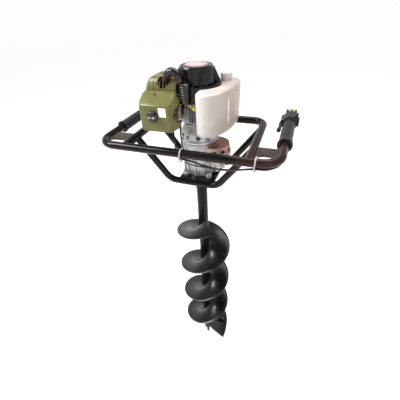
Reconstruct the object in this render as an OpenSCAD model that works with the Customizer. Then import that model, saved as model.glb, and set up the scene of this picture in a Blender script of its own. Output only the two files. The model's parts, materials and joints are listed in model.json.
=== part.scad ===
// Petrol earth and ice auger: tube frame, two-stroke power head, two-stage
// gearbox and a helical bit. Millimetres. The origin is the tip of the pilot
// point; +Z runs up the drive axis, +X along the front bar to the throttle
// arm, +Y to the rear.

/* [Frame] */
// Outside diameter of the frame tubes
tube_d = 22; // [21:0.5:23]
// Wall of the frame tubes
tube_wall = 2; // [1.5:0.5:3]
// Height of the handle plane above the pilot tip
frame_z = 1164; // [1164:1:1168]
// Reach of the left arm from the drive axis
arm_left = 250; // [246:1:256]
// Reach of the right arm from the drive axis
arm_right = 241; // [238:1:246]
// Centreline radius of the elbows
elbow_r = 48; // [44:1:52]
// Half width of the inner loop
loop_x = 168; // [164:1:170]
// Distance of the front bar ahead of the drive axis
front_y = 135; // [132:1:138]
// Distance of the rear bar behind the drive axis
rear_y = 130; // [126:1:134]

/* [Bit] */
// Outside diameter of the helical flight
bit_d = 200; // [150:5:210]
// Rise of the flight per turn
pitch = 185; // [170:5:200]
// Thickness of the flight plate
flight_t = 4; // [3:0.5:4]
// Outside diameter of the bit tube
stem_d = 36; // [36:0.5:37]

/* [Gearbox] */
// Teeth of the input pinion
input_teeth = 11; // [11:1:11]
// Teeth of the large intermediate gear
middle_teeth = 61; // [61:1:61]
// Teeth of the small intermediate pinion
second_teeth = 10; // [10:1:10]
// Teeth of the output gear
output_teeth = 50; // [50:1:50]

/* [Engine] */
// Cylinder bore
bore_d = 40; // [39:0.5:40]
// Piston stroke
stroke = 32; // [30:1:32]
// Number of cylinder fins
fins = 8; // [6:1:8]
// Number of fan blades on the flywheel
fan_blades = 16; // [12:1:20]
// Height of the fuel tank
tank_h = 103; // [98:1:104]

/* [Hidden] */
$fn = 64;
to = tube_d / 2;
ti = to - tube_wall;
fz = frame_z;
fy = -front_y;
grip_l0 = -13;
grip_l1 = 120;
arm_end_l = 116;
arm_end_r = 176;
cradle_y = 70;
cradle_z = 1037;
cradle_r = 40;
// The legs climb 4 for every 3 outwards
leg_a = atan2(4, 3);
bend_x = loop_x - (fz - cradle_z - 0.4 * cradle_r) * 0.75 - 0.8 * cradle_r;
axis_gap = 45;
m1 = 2 * axis_gap / (input_teeth + middle_teeth);
m2 = 2 * axis_gap / (second_teeth + output_teeth);
R = bit_d / 2;
stem_r = stem_d / 2;
cyl_z = 1230;
br = bore_d / 2;
crank_r = stroke / 2;
rod_l = 56;
pin_x = -(rod_l + crank_r);
plug_p = [-98, -8, 1244];
plug_tilt = 35;
plug_az = -55.5;
foot = [[-32, -46], [-32, 46], [40, -46], [40, 46]];
hx = arm_right;
cap_p = [66, 45];

// ---------- helpers ----------
// Smooth curve through hand-set points
function cr(a, b, c, d, t) = 0.5 * ((2 * b) + (c - a) * t
    + (2 * a - 5 * b + 4 * c - d) * t * t + (3 * b - a - 3 * c + d) * t * t * t);
function smooth(p, n) = let(k = len(p)) concat(
    [for (i = [0:k - 2], j = [0:n - 1]) cr(p[max(i - 1, 0)], p[i], p[i + 1],
        p[min(i + 2, k - 1)], j / n)], [p[k - 1]]);
function ring(p, n) = let(k = len(p)) [for (i = [0:k - 1], j = [0:n - 1])
    cr(p[(i + k - 1) % k], p[i], p[(i + 1) % k], p[(i + 2) % k], j / n)];
function unit(v) = v / norm(v);
function side_of(t) = unit(cross(t, abs(t[2]) > 0.9 ? [0, 1, 0] : [0, 0, 1]));
function tan_at(p, i) = unit(p[min(i + 1, len(p) - 1)] - p[max(i - 1, 0)]);
// Side vectors carried along a path without twist
function sides(p) = [for (i = 0, a = side_of(tan_at(p, 0)); i < len(p);
    i = i + 1, a = unit(a - (a * tan_at(p, i)) * tan_at(p, i))) a];

// Faces turned over
function flip(f) = [for (q = f) [for (i = [len(q) - 1:-1:0]) q[i]]];

// Round cord swept along points with m sides
module cord(pts, r, m = 8) {
    n = len(pts);
    sd = sides(pts);
    v = [for (i = [0:n - 1]) let(a = sd[i], b = cross(tan_at(pts, i), a)) for (j = [0:m - 1])
        pts[i] + r * (cos(360 * j / m) * a + sin(360 * j / m) * b)];
    f = concat(
        [[for (j = [m - 1:-1:0]) j]],
        [for (i = [0:n - 2], j = [0:m - 1]) each
            [[i * m + j, i * m + (j + 1) % m, (i + 1) * m + j],
             [i * m + (j + 1) % m, (i + 1) * m + (j + 1) % m, (i + 1) * m + j]]],
        [[for (j = [0:m - 1]) (n - 1) * m + j]]);
    polyhedron(v, flip(f), convexity = 6);
}

// Helical strip: z(a) given by a list of [angle, z], radii r1 to r2, thickness t
module strip(az, r1, r2, t) {
    n = len(az);
    v = [for (i = [0:n - 1]) each [
        [r1 * cos(az[i][0]), r1 * sin(az[i][0]), az[i][1] - t / 2],
        [r2 * cos(az[i][0]), r2 * sin(az[i][0]), az[i][1] - t / 2],
        [r2 * cos(az[i][0]), r2 * sin(az[i][0]), az[i][1] + t / 2],
        [r1 * cos(az[i][0]), r1 * sin(az[i][0]), az[i][1] + t / 2]]];
    f = concat([[0, 1, 2], [0, 2, 3]],
        [for (i = [0:n - 2], j = [0:3]) each
            [[4 * i + j, 4 * i + 4 + j, 4 * i + (j + 1) % 4],
             [4 * i + (j + 1) % 4, 4 * i + 4 + j, 4 * i + 4 + (j + 1) % 4]]],
        [[4 * n - 4, 4 * n - 2, 4 * n - 3], [4 * n - 4, 4 * n - 1, 4 * n - 2]]);
    polyhedron(v, flip(f), convexity = 10);
}

// Involute tooth outline with running play
function inv(b, r) = let(a = acos(min(1, b / r))) tan(a) * 180 / PI - a;
function flank(z, m, r) = let(p = z * m / 2, b = p * cos(20))
    90 / z - 7 / p + inv(b, p) - (r > b ? inv(b, r) : 0);
function tooth_pts(z, m) = let(p = z * m / 2, r0 = p - 1.25 * m, r1 = p + 0.85 * m,
    s = [r0, max(p * cos(20), r0 + 0.1), p, (p + r1) / 2, r1])
    [for (k = [0:z - 1]) each concat(
        [for (i = [0:4]) let(a = 360 * k / z - flank(z, m, s[i])) s[i] * [cos(a), sin(a)]],
        [for (i = [4:-1:0]) let(a = 360 * k / z + flank(z, m, s[i])) s[i] * [cos(a), sin(a)]])];
module gear(z, m, h) linear_extrude(height = h) polygon(tooth_pts(z, m));

module rod_y(r, y0, y1) translate([0, y0, 0]) rotate([-90, 0, 0]) cylinder(r = r, h = y1 - y0);
module rod_x(r, x0, x1) translate([x0, 0, 0]) rotate([0, 90, 0]) cylinder(r = r, h = x1 - x0);
module pipe(r1, r0, h) difference() {
    cylinder(r = r1, h = h);
    translate([0, 0, -1]) cylinder(r = r0, h = h + 2);
}
module bolt(r, h, head = 1.75) {
    cylinder(r = r, h = h);
    translate([0, 0, h]) cylinder(r = r * head, h = r * 1.3, $fn = 6);
}

// ---------- frame ----------
module elbow() rotate_extrude(angle = 90) translate([elbow_r, 0]) difference() {
    circle(r = to);
    circle(r = ti);
}
module handle_tube() color([0.05, 0.05, 0.06]) {
    translate([-arm_left + elbow_r, fy, fz]) rotate([0, 90, 0])
        pipe(to, ti, arm_left + arm_right - 2 * elbow_r);
    translate([arm_right - elbow_r, fy + elbow_r, fz]) rotate([0, 0, -90]) elbow();
    translate([-arm_left + elbow_r, fy + elbow_r, fz]) rotate([0, 0, 180]) elbow();
    translate([arm_right, fy + elbow_r, fz]) rotate([-90, 0, 0]) pipe(to, ti, arm_end_r - fy - elbow_r);
    translate([-arm_left, fy + elbow_r, fz]) rotate([-90, 0, 0]) pipe(to, ti, arm_end_l - fy - elbow_r);
}
module loop_path(r) {
    for (s = [-1, 1]) translate([s * loop_x, 0, fz]) rod_y(r, fy, rear_y - 36);
    translate([0, rear_y, fz]) rod_x(r, -loop_x + 36, loop_x - 36);
    translate([loop_x - 36, rear_y - 36, fz]) rotate_extrude(angle = 90) translate([36, 0]) circle(r = r);
    translate([-loop_x + 36, rear_y - 36, fz]) rotate([0, 0, 90])
        rotate_extrude(angle = 90) translate([36, 0]) circle(r = r);
}
module inner_loop_tube() color([0.05, 0.05, 0.06]) difference() {
    loop_path(to);
    loop_path(ti);
    translate([0, fy, fz]) rod_x(to + 0.02, -loop_x - 40, loop_x + 40);
}
module brace(x0, x1) difference() {
    translate([x0, fy, fz - 3]) cube([x1 - x0, 78, 6]);
    translate([0, fy, fz]) rod_x(to + 0.02, x0 - 60, x1 + 60);
    translate([x0, 0, fz]) rod_y(to + 0.02, fy - 5, 0);
    translate([x1, 0, fz]) rod_y(to + 0.02, fy - 5, 0);
    translate([x1 > 0 ? x1 - elbow_r : x0 + elbow_r, fy + elbow_r, fz - 20])
        difference() {
            translate([-80, -80, 0]) cube([160, 80, 40]);
            translate([0, 0, -1]) cylinder(r = elbow_r - to - 0.1, h = 42);
            translate([x1 > 0 ? -81 : 0, -81, -1]) cube([81, 82, 42]);
            translate([-81, 0, -1]) cube([162, 81, 42]);
        }
    for (x = [x0 + 32, x1 - 32]) translate([x, fy + 22, fz - 5]) cylinder(r = 17, h = 10);
    translate([x0 + 32, fy + 5, fz - 5]) cube([x1 - x0 - 64, 34, 10]);
    translate([x0 + 15, fy, fz - 5]) cube([x1 - x0 - 30, 22, 10]);
}
module handle_braces() color([0.07, 0.05, 0.05]) {
    brace(loop_x, arm_right);
    brace(-arm_left, -loop_x);
}
module cradle_path() {
    translate([-bend_x, 0, cradle_z]) rotate([0, 90, 0]) pipe(to - 1, ti - 1, 2 * bend_x);
    for (s = [0, 1]) mirror([s, 0, 0]) {
        translate([bend_x, 0, cradle_z + cradle_r]) rotate([90, 0, 0])
            rotate([0, 0, -90]) rotate_extrude(angle = leg_a) translate([cradle_r, 0]) difference() {
                circle(r = to - 1);
                circle(r = ti - 1);
            }
        translate([bend_x + 0.8 * cradle_r, 0, cradle_z + 0.4 * cradle_r])
            rotate([0, 90 - leg_a, 0]) pipe(to - 1, ti - 1, (loop_x - bend_x - 0.8 * cradle_r) / 0.6);
    }
}
module cradle_tube() difference() {
    cradle_path();
    for (s = [-1, 1]) translate([s * loop_x, 0, fz]) rod_y(to + 0.02, -30, 30);
}
module cradle_tube_front() color([0.05, 0.05, 0.06]) translate([0, -cradle_y, 0]) cradle_tube();
module cradle_tube_rear() color([0.05, 0.05, 0.06]) translate([0, cradle_y, 0]) cradle_tube();
module base_plate() color([0.06, 0.06, 0.07]) difference() {
    translate([-46, -66, 1039]) cube([108, 132, 6]);
    for (s = [-1, 1]) translate([0, s * cradle_y, cradle_z]) rod_x(to - 0.98, -80, 80);
    translate([0, 0, 1030]) cylinder(r = 24.1, h = 20);
    for (p = foot) translate([p[0], p[1], 1030]) cylinder(r = 4.2, h = 20);
    for (y = [-80, 57]) translate([52.7, y, 1030]) cube([20, 23, 20]);
}
module left_grip() color([0.1, 0.1, 0.1]) translate([-arm_left, 0, fz]) difference() {
    union() {
        rod_y(15, grip_l0, grip_l1 + 3);
        rod_y(17.5, grip_l0, grip_l0 + 5);
        rod_y(17, grip_l1 - 3, grip_l1 + 3);
        for (i = [0:13]) rod_y(15.7, grip_l0 + 12 + i * 8, grip_l0 + 16 + i * 8);
    }
    rod_y(to + 0.03, grip_l0 - 1, arm_end_l + 0.2);
}

// ---------- throttle handle ----------
module handle_solid() {
    rod_y(17.5, -26, 124);
    rod_y(20, -28, -20);
    rod_y(18.6, -20, -14);
    rod_y(22, 122, 176);
    rod_y(14, 174, 206);
    for (x = [-16, 9]) translate([x, 180, -6]) cube([7, 24, 24]);
    translate([-26, 126, -9]) cube([20, 50, 18]);
    translate([8, 132, -10]) cube([19, 30, 20]);
}
module handle_half(s) difference() {
    handle_solid();
    rod_y(to + 0.05, -40, arm_end_r + 0.2);
    translate([0, 193, -4]) cylinder(r = 8.5, h = 15);
    translate([0, 193, 10]) cylinder(r = 6.2, h = 20);
    translate([-40, -60, s > 0 ? -60 : 0]) cube([80, 320, 60]);
    translate([-30, 62, -5.2]) cube([18.6, 74, 10.4]);
    translate([-22, 131, -15]) cylinder(r = 2.55, h = 30);
    translate([14, 130, 1]) cube([8.4, 27, 30]);
    translate([12, 143, 7]) rotate([0, 90, 0]) cylinder(r = 1.55, h = 12.5);
    for (y = [60, 150]) translate([y == 60 ? 14 : 20.5, y == 60 ? -6 : 170, 0])
        translate([0, 0, -40]) cylinder(r = 1.6, h = 80);
    translate([14, -6, 12]) cylinder(r = 2.9, h = 20);
    translate([20.5, 170, 10]) cylinder(r = 2.9, h = 20);
}
module throttle_handle_upper() color([0.09, 0.08, 0.08]) translate([hx, 0, fz]) handle_half(1);
module throttle_handle_lower() color([0.09, 0.08, 0.08]) translate([hx, 0, fz]) handle_half(-1);
module throttle_trigger() color([0.06, 0.06, 0.06]) translate([hx, 0, fz]) difference() {
    linear_extrude(height = 9, center = true) polygon([[-18.4, 134.5], [-13.5, 127],
        [-18.8, 118], [-19.8, 100], [-19.3, 76], [-21.5, 66], [-28, 64], [-31, 70], [-28, 88],
        [-28.5, 110], [-29, 124], [-26.4, 134.5]]);
    translate([-22, 131, -15]) cylinder(r = 2.55, h = 30);
}
module trigger_lock() color([0.12, 0.12, 0.12]) translate([hx, 0, fz]) difference() {
    linear_extrude_x(14.3, 22.1) polygon([[134, 6], [134, 12], [139, 24], [148, 27.5], [153, 26],
        [149, 13], [152, 6]]);
    translate([12, 143, 7]) rotate([0, 90, 0]) cylinder(r = 1.55, h = 12.5);
}
module linear_extrude_x(x0, x1) translate([x0, 0, 0]) rotate([90, 0, 90])
    linear_extrude(height = x1 - x0) children();
module stop_button() color([0.55, 0.6, 0.15]) translate([hx, 193, fz]) {
    translate([0, 0, 4]) cylinder(r = 6, h = 18);
    translate([0, 0, 4]) cylinder(r = 8.2, h = 3);
}
module handle_screws() color([0.6, 0.6, 0.62]) translate([hx, 0, fz]) {
    translate([14, -6, -12]) bolt(1.5, 24);
    translate([20.5, 170, -10]) bolt(1.5, 20);
    translate([-22, 131, -9.5]) cylinder(r = 2.5, h = 19);
    translate([12.3, 143, 7]) rotate([0, 90, 0]) cylinder(r = 1.5, h = 12);
}
// Cord routes: throttle cable and stop-switch lead
cable_a = [[236, -29, 1149], [238, -60, 1149], [238, -86, 1150], [229, -112, 1150],
    [210, -130, 1150], [188, -136, 1149.5], [160, -139, 1145], [128, -141, 1139], [92, -142, 1138],
    [56, -141, 1143], [24, -138, 1148], [1, -136, 1149.5], [-10, -131, 1148], [-22, -118, 1153],
    [-34, -98, 1172], [-44, -80, 1190], [-50, -68, 1204], [-53, -62, 1215], [-54, -60, 1225.8]];
cable_b = [[244, -29, 1149], [245, -60, 1149], [244, -86, 1150], [234, -116, 1150],
    [212, -136, 1150], [188, -142, 1151], [160, -146, 1149], [128, -149, 1145], [92, -150, 1143],
    [56, -149, 1143], [32, -147, 1143], [16, -141, 1142], [8, -131, 1144], [-1, -117, 1150],
    [-12, -100, 1166], [-24, -78, 1185], [-33, -56, 1200], [-36, -42, 1214], [-36, -39.5, 1230],
    [-36, -39.5, 1246], [-36, -39.5, 1262]];
module throttle_cable() color([0.05, 0.05, 0.05]) cord(smooth(cable_a, 3), 2.5);
module stop_switch_lead() color([0.06, 0.06, 0.06]) cord(smooth(cable_b, 3), 2);
module tie() rotate([90, 0, 90]) linear_extrude(height = 3.6, center = true) difference() {
    union() {
        circle(r = to + 1.9);
        translate([-3.5, -7.5]) circle(r = 13.6);
        translate([8, 9]) square([6, 5], center = true);
    }
    circle(r = to + 0.3);
    translate([-3.5, -7.5]) circle(r = 12.2);
}
module cable_ties() color([0.92, 0.92, 0.9]) for (x = [-2, 185]) translate([x, fy, fz]) tie();

// ---------- gearbox ----------
module box_outline(e) {
    circle(r = 46 + e);
    translate([axis_gap, 0]) circle(r = 42 + e);
    translate([0, -42 - e]) square([axis_gap, 84 + 2 * e]);
}
module gearbox_case() color([0.68, 0.68, 0.69]) difference() {
    union() {
        translate([0, 0, 1045]) cylinder(r = 46, h = 67);
        translate([0, 0, 1036]) cylinder(r = 24, h = 10);
        translate([axis_gap, 0, 1048]) cylinder(r = 17, h = 60);
        translate([0, -17, 1048]) cube([axis_gap, 34, 60]);
        translate([0, 0, 1104]) linear_extrude(height = 8) box_outline(6);
        for (p = foot) {
            translate([p[0], p[1], 1045]) cylinder(r = 9, h = 12);
            translate([p[0], 0, 1045]) translate([-4, p[1] > 0 ? 20 : p[1], 0]) cube([8, abs(p[1]) - 20, 12]);
        }
        for (a = [-150:30:-30]) rotate([0, 0, a]) translate([40, -2.5, 1046]) cube([12, 5, 60]);
        for (a = [30:30:150]) rotate([0, 0, a]) translate([40, -2.5, 1046]) cube([12, 5, 60]);
        for (s = [-1, 1]) translate([axis_gap - 3, s > 0 ? 12 : -30, 1062]) cube([6, 18, 44]);
        translate([axis_gap + 12, -3, 1058]) cube([22, 6, 48]);
    }
    translate([0, 0, 1030]) cylinder(r = 11, h = 20);
    translate([0, 0, 1046]) cylinder(r = 23.52, h = 16);
    translate([0, 0, 1060]) cylinder(r = 42, h = 60);
    translate([axis_gap, 0, 1060]) cylinder(r = 13.02, h = 60);
    translate([axis_gap, 0, 1051]) cylinder(r = 13.02, h = 20);
    for (p = foot) translate([p[0], p[1], 1040]) cylinder(r = 4.05, h = 30);
    for (p = foot) translate([p[0], p[1], 1057]) cylinder(r = 7.6, h = 12);
    for (p = case_bolts) translate([p[0], p[1], 1060]) cylinder(r = 3.05, h = 60);
}
case_bolts = [for (a = [100, 140, 180, 220, 260]) [49 * cos(a), 49 * sin(a)],
    for (a = [-75, -40, 0, 40, 75]) [axis_gap + 45 * cos(a), 45 * sin(a)]];
module gearbox_cover() color([0.72, 0.72, 0.73]) difference() {
    union() {
        translate([0, 0, 1112]) linear_extrude(height = 7) box_outline(6);
        translate([0, 0, 1112]) linear_extrude(height = 28) box_outline(1.5);
        translate([0, 0, 1130]) cylinder(r = 56, h = 20);
        translate([axis_gap, 0, 1130]) cylinder(r = 17, h = 14);
        for (a = [60:15:120]) rotate([0, 0, -a]) translate([44, -1.5, 1112]) cube([9, 3, 24]);
    }
    translate([axis_gap, 0, 1111]) cylinder(r = 41, h = 22);
    translate([0, 0, 1111]) cylinder(r = 40, h = 6);
    translate([0, 0, 1111]) cylinder(r = 11, h = 23);
    translate([axis_gap, 0, 1120]) cylinder(r = 13.02, h = 20.5);
    translate([0, 0, 1134]) cylinder(r = 16.02, h = 13);
    translate([0, 0, 1140]) cylinder(r = 12, h = 20);
    for (p = case_bolts) translate([p[0], p[1], 1100]) cylinder(r = 3.05, h = 20);
    for (p = case_bolts) translate([p[0], p[1], 1119]) cylinder(r = 6.5, h = 10.5);
    for (a = [45:90:315]) rotate([0, 0, a]) translate([51, 0, 1136]) cylinder(r = 2.55, h = 20);
}
module bearing_plate() color([0.65, 0.65, 0.66]) difference() {
    translate([0, 0, 1077]) cylinder(r = 41.9, h = 12);
    translate([0, 0, 1076]) cylinder(r = 10.6, h = 20);
    translate([0, 0, 1079]) cylinder(r = 17.52, h = 20);
    translate([axis_gap, 0, 1070]) cylinder(r = 13.4, h = 30);
}
module gearbox_bolts() color([0.78, 0.78, 0.8]) {
    for (p = case_bolts) translate([p[0], p[1], 1094]) bolt(3, 25.1);
    for (p = foot) translate([p[0], p[1], 1034]) bolt(4, 23.1);
    for (p = foot) translate([p[0], p[1], 1032.8]) difference() {
        cylinder(r = 7, h = 6.1, $fn = 6);
        translate([0, 0, -1]) cylinder(r = 4.02, h = 12);
    }
    for (a = [45:90:315]) rotate([0, 0, a]) translate([51, 0, 1137]) bolt(2.5, 20.1);
}
module bearing(r0, r1, h) difference() {
    cylinder(r = r1, h = h);
    translate([0, 0, -1]) cylinder(r = r0 + 0.05, h = h + 2);
    difference() {
        translate([0, 0, -0.01]) cylinder(r = r1 - (r1 - r0) * 0.32, h = 1);
        translate([0, 0, -1]) cylinder(r = r0 + (r1 - r0) * 0.32, h = 3);
    }
}
module ball_bearings() color([0.8, 0.8, 0.82]) {
    translate([0, 0, 1046.5]) bearing(10, 23.5, 12);
    translate([0, 0, 1079.2]) bearing(10, 17.5, 9.5);
    translate([axis_gap, 0, 1051.2]) bearing(6, 13, 8);
    translate([axis_gap, 0, 1132]) bearing(6, 13, 8);
    translate([0, 0, 1134.3]) bearing(8, 16, 11);
    translate([0, 0, 1199.2]) bearing(8, 17.5, 10);
    translate([0, 0, 1250.8]) bearing(8, 17.5, 9);
}
module output_shaft() color([0.6, 0.6, 0.62]) difference() {
    union() {
        translate([0, 0, 980]) cylinder(r = 10, h = 108);
        translate([0, 0, 1058.7]) cylinder(r = 13, h = 3.2);
    }
    translate([0, 0, 1004]) rod_x(4.02, -20, 20);
    translate([-3, 8, 1061]) cube([6, 4, 12]);
}
module output_gear() color([0.62, 0.62, 0.64]) difference() {
    translate([0, 0, 1062]) union() {
        gear(output_teeth, m2, 12);
        translate([0, 0, 12]) cylinder(r = 16, h = 2.4);
    }
    translate([0, 0, 1050]) cylinder(r = 10.02, h = 40);
    for (a = [0:60:300]) rotate([0, 0, a]) translate([25, 0, 1050]) cylinder(r = 6, h = 40);
}
module coupling_pin() color([0.75, 0.75, 0.77]) translate([0, 0, 1004]) {
    rod_x(4, -21, 22);
    rod_x(6.5, -24, -21);
    translate([20.6, 0, 0]) rotate([90, 0, 0]) translate([0, 0, -8]) cylinder(r = 0.9, h = 16);
}
module auger_tube() color([0.08, 0.08, 0.09]) difference() {
    union() {
        translate([0, 0, 76]) cylinder(r = stem_r, h = 900);
        translate([0, 0, 975]) cylinder(r = 19.5, h = 49);
    }
    translate([0, 0, 70]) cylinder(r = stem_r - 3.5, h = 890);
    translate([0, 0, 950]) cylinder(r = 10.05, h = 80);
    translate([0, 0, 1004]) rod_x(4.05, -30, 30);
}
function flight_z(a) = pitch * (a - 97) / 360 + 735;
module auger_flight() color([0.22, 0.22, 0.23])
    strip([for (i = [0:230]) let(a = -1080 + i * 1383.3 / 230) [a, flight_z(a)]],
        stem_r + 0.3, R, flight_t);
function blade_z(a) = a >= -1075 ? flight_z(a) - flight_t / 2 - 3.3
    : let(z1 = flight_z(-1075) - flight_t / 2 - 3.3) z1 + (z1 - 67) * (a + 1075) / 27;
module cutting_blade() color([0.12, 0.12, 0.12])
    strip([for (i = [0:17]) let(a = -1102 + i * 3) [a, blade_z(a)]], stem_r + 0.6, R, 6);
module blade_bolts() color([0.5, 0.5, 0.52]) for (r = [44, 78]) rotate([0, 0, -1064])
    translate([r, 0, flight_z(-1064) - 12]) {
        cylinder(r = 4, h = 18);
        translate([0, 0, 15.5]) cylinder(r = 8, h = 4);
        translate([0, 0, -1]) cylinder(r = 7, h = 4.5, $fn = 6);
    }
module pilot_point() color([0.15, 0.15, 0.15]) rotate_extrude() polygon([[0, 0], [6.5, 20],
    [6.5, 70], [16, 75.9], [14.4, 75.95], [14.4, 110], [0, 110]]);

// ---------- drive line above the gearbox ----------
module intermediate_gear() color([0.6, 0.6, 0.63]) translate([axis_gap, 0, 0]) {
    difference() {
        union() {
            translate([0, 0, 1051.4]) cylinder(r = 5.98, h = 88);
            translate([0, 0, 1060.5]) rotate([0, 0, 180 + 180 / second_teeth]) gear(second_teeth, m2, 15);
            translate([0, 0, 1076]) cylinder(r = 8, h = 42);
            translate([0, 0, 1118]) rotate([0, 0, 180 + 180 / middle_teeth]) gear(middle_teeth, m1, 10);
            translate([0, 0, 1128]) cylinder(r = 9, h = 3.6);
        }
        for (a = [0:60:300]) rotate([0, 0, a]) translate([23, 0, 1110]) cylinder(r = 7, h = 40);
    }
}
module clutch_drum() color([0.58, 0.58, 0.6]) difference() {
    union() {
        translate([0, 0, 1118]) gear(input_teeth, m1, 12);
        translate([0, 0, 1130]) cylinder(r = 7.98, h = 26);
        translate([0, 0, 1150]) cylinder(r = 11, h = 6);
        translate([0, 0, 1156]) cylinder(r = 39, h = 26);
    }
    translate([0, 0, 1159]) cylinder(r = 36, h = 40);
}
module clutch_shoes() color([0.5, 0.45, 0.4]) difference() {
    translate([0, 0, 1162]) cylinder(r = 34.5, h = 18);
    translate([0, 0, 1160]) cylinder(r = 15, h = 30);
    translate([-4, -60, 1160]) cube([8, 120, 30]);
    translate([0, 0, 1168]) difference() {
        cylinder(r = 40, h = 6);
        cylinder(r = 31, h = 6);
    }
}
module clutch_housing() color([0.7, 0.7, 0.71]) difference() {
    union() {
        translate([0, 0, 1150]) cylinder(r = 56, h = 7);
        translate([0, 0, 1156]) rotate_extrude() polygon([[0, 0], [53, 0], [52, 4], [50, 22], [44, 34], [42, 40], [0, 40]]);
        for (a = [0:30:330]) rotate([0, 0, a + 15]) translate([44, -1.5, 1156]) cube([10, 3, 20]);
    }
    translate([0, 0, 1140]) cylinder(r = 14, h = 80);
    translate([0, 0, 1149]) cylinder(r = 42, h = 37);
    for (a = [45:90:315]) rotate([0, 0, a]) translate([51, 0, 1140]) cylinder(r = 2.55, h = 60);
    for (a = [45:90:315]) rotate([0, 0, a]) translate([51, 0, 1157]) cylinder(r = 5, h = 30);
    for (a = [135, 170, 205, 240]) rotate([0, 0, a + 45]) translate([40, -5, 1163]) cube([16, 10, 10]);
}

// ---------- engine ----------
module crankcase() color([0.66, 0.66, 0.67]) difference() {
    union() {
        translate([0, 0, 1196]) cylinder(r = 39, h = 66);
        translate([-44, -30, 1202]) cube([44, 60, 56]);
        for (i = [0:7]) translate([-13 + i * 6, -44, 1206]) cube([2.2, 30, 50]);
        translate([0, 0, 1257]) cylinder(r = 50, h = 5);
        translate([0, 0, 1196]) cylinder(r = 42, h = 5);
        for (a = [-32, 30]) rotate([0, 0, a]) translate([34, -7, 1226]) cube([27.5, 14, 8]);
    }
    translate([0, 0, 1190]) cylinder(r = 12, h = 80);
    translate([0, 0, 1199]) cylinder(r = 17.52, h = 20);
    translate([0, 0, 1240]) cylinder(r = 17.52, h = 20);
    translate([0, 0, 1213]) cylinder(r = 34, h = 34);
    translate([0, 0, cyl_z]) rod_x(22.05, -50, -20);
}
module crankshaft() color([0.62, 0.62, 0.65]) {
    translate([0, 0, 1160]) cylinder(r = 14.8, h = 22);
    translate([0, 0, 1180]) cylinder(r = 7.98, h = 36);
    translate([0, 0, 1216]) cylinder(r = 25, h = 7.9);
    translate([0, 0, 1236.1]) cylinder(r = 25, h = 7.9);
    translate([0, 0, 1244]) cylinder(r = 7.98, h = 22);
    translate([0, 0, 1266]) cylinder(r = 6, h = 30);
    translate([0, 0, 1290.2]) difference() {
        cylinder(r = 10, h = 6, $fn = 6);
        translate([0, 0, -1]) cylinder(r = 5.5, h = 8);
    }
}
module crank_pin() color([0.7, 0.7, 0.72]) translate([-crank_r, 0, 1224.4]) cylinder(r = 5.5, h = 11.2);
module connecting_rod() color([0.55, 0.55, 0.57]) difference() {
    union() {
        translate([-crank_r, 0, 1225]) cylinder(r = 8.5, h = 10);
        translate([pin_x, 0, 1225]) cylinder(r = 8, h = 10);
        translate([pin_x, -3.5, 1227]) cube([rod_l, 7, 6]);
    }
    translate([-crank_r, 0, 1220]) cylinder(r = 5.52, h = 20);
    translate([pin_x, 0, 1220]) cylinder(r = 5.05, h = 20);
}
module wrist_pin() color([0.7, 0.7, 0.72]) translate([pin_x, 0, 1212.5]) cylinder(r = 5, h = 35);
module piston() color([0.75, 0.75, 0.76]) difference() {
    union() {
        difference() {
            translate([0, 0, cyl_z]) rod_x(br - 0.07, pin_x - 16, pin_x + 12);
            translate([0, 0, cyl_z]) rod_x(br - 3.5, pin_x - 12, pin_x + 13);
        }
        intersection() {
            for (z = [1212, 1236]) translate([pin_x, 0, z]) cylinder(r = 8, h = 12);
            translate([0, 0, cyl_z]) rod_x(br - 1, pin_x - 12, pin_x + 12);
        }
    }
    translate([pin_x, 0, 1200]) cylinder(r = 5.01, h = 60);
    for (x = [pin_x - 13.5, pin_x - 10.5]) translate([0, 0, cyl_z]) difference() {
        rod_x(br + 1, x, x + 1.5);
        rod_x(br - 1.6, x - 1, x + 3);
    }
}
module plug_axis(s) translate(plug_p) rotate([0, 0, plug_az]) rotate([0, plug_tilt, 0])
    translate([0, 0, s]) children();
module engine_cylinder() color([0.6, 0.6, 0.6]) difference() {
    union() {
        translate([0, 0, cyl_z]) rod_x(br + 5, -106, -44.1);
        translate([-48, -28, cyl_z - 26]) cube([3.9, 56, 52]);
        for (i = [0:fins - 1]) translate([-56 - i * 6.2, -35, cyl_z - 32]) cube([2.2, 70, 64]);
        translate([-66, -38, cyl_z - 4]) cube([21.5, 26, 26]);
        translate([-68, 14, cyl_z - 14]) cube([23.5, 24, 28]);
    }
    translate([0, 0, cyl_z]) rod_x(br, -93, -40);
    translate([-55, 0, cyl_z + 10]) rod_y(8, -50, 0);
    translate([-56, 0, cyl_z]) rod_y(8, 0, 50);
    plug_axis(-2) cylinder(r = 7.05, h = 40);
    plug_axis(18) cylinder(r = 13, h = 50);
}
module flywheel_fan() color([0.72, 0.72, 0.74]) difference() {
    union() {
        translate([0, 0, 1266.5]) cylinder(r = 13, h = 23.5);
        translate([0, 0, 1270]) cylinder(r = 43, h = 4);
        for (i = [0:fan_blades - 1]) rotate([0, 0, i * 360 / fan_blades])
            translate([22, -1, 1273]) cube([20.8, 2, 14]);
    }
    translate([0, 0, 1260]) cylinder(r = 6.02, h = 40);
    translate([0, 0, 1260]) cylinder(r = 8.3, h = 6.8);
}
module ignition_coil() color([0.1, 0.1, 0.12]) rotate([0, 0, 128]) difference() {
    translate([40, -13, 1269]) cube([13.5, 26, 18]);
    translate([0, 0, 1260]) cylinder(r = 43.6, h = 40);
}
module cover_shape(e) hull() {
    translate([-122 + e, -58 + e, 1268]) cube([94 - 2 * e, 100 - 2 * e, 0.1]);
    translate([-122 + e, -58 + e, 1294]) cube([94 - 2 * e, 100 - 2 * e, 0.1]);
    translate([-117 + e, -50 + e, 1314 - e]) cube([84 - 2 * e, 84 - 2 * e, 0.1]);
    translate([-108 + e, -42 + e, 1322 - e]) cube([66 - 2 * e, 66 - 2 * e, 0.1]);
}
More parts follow.
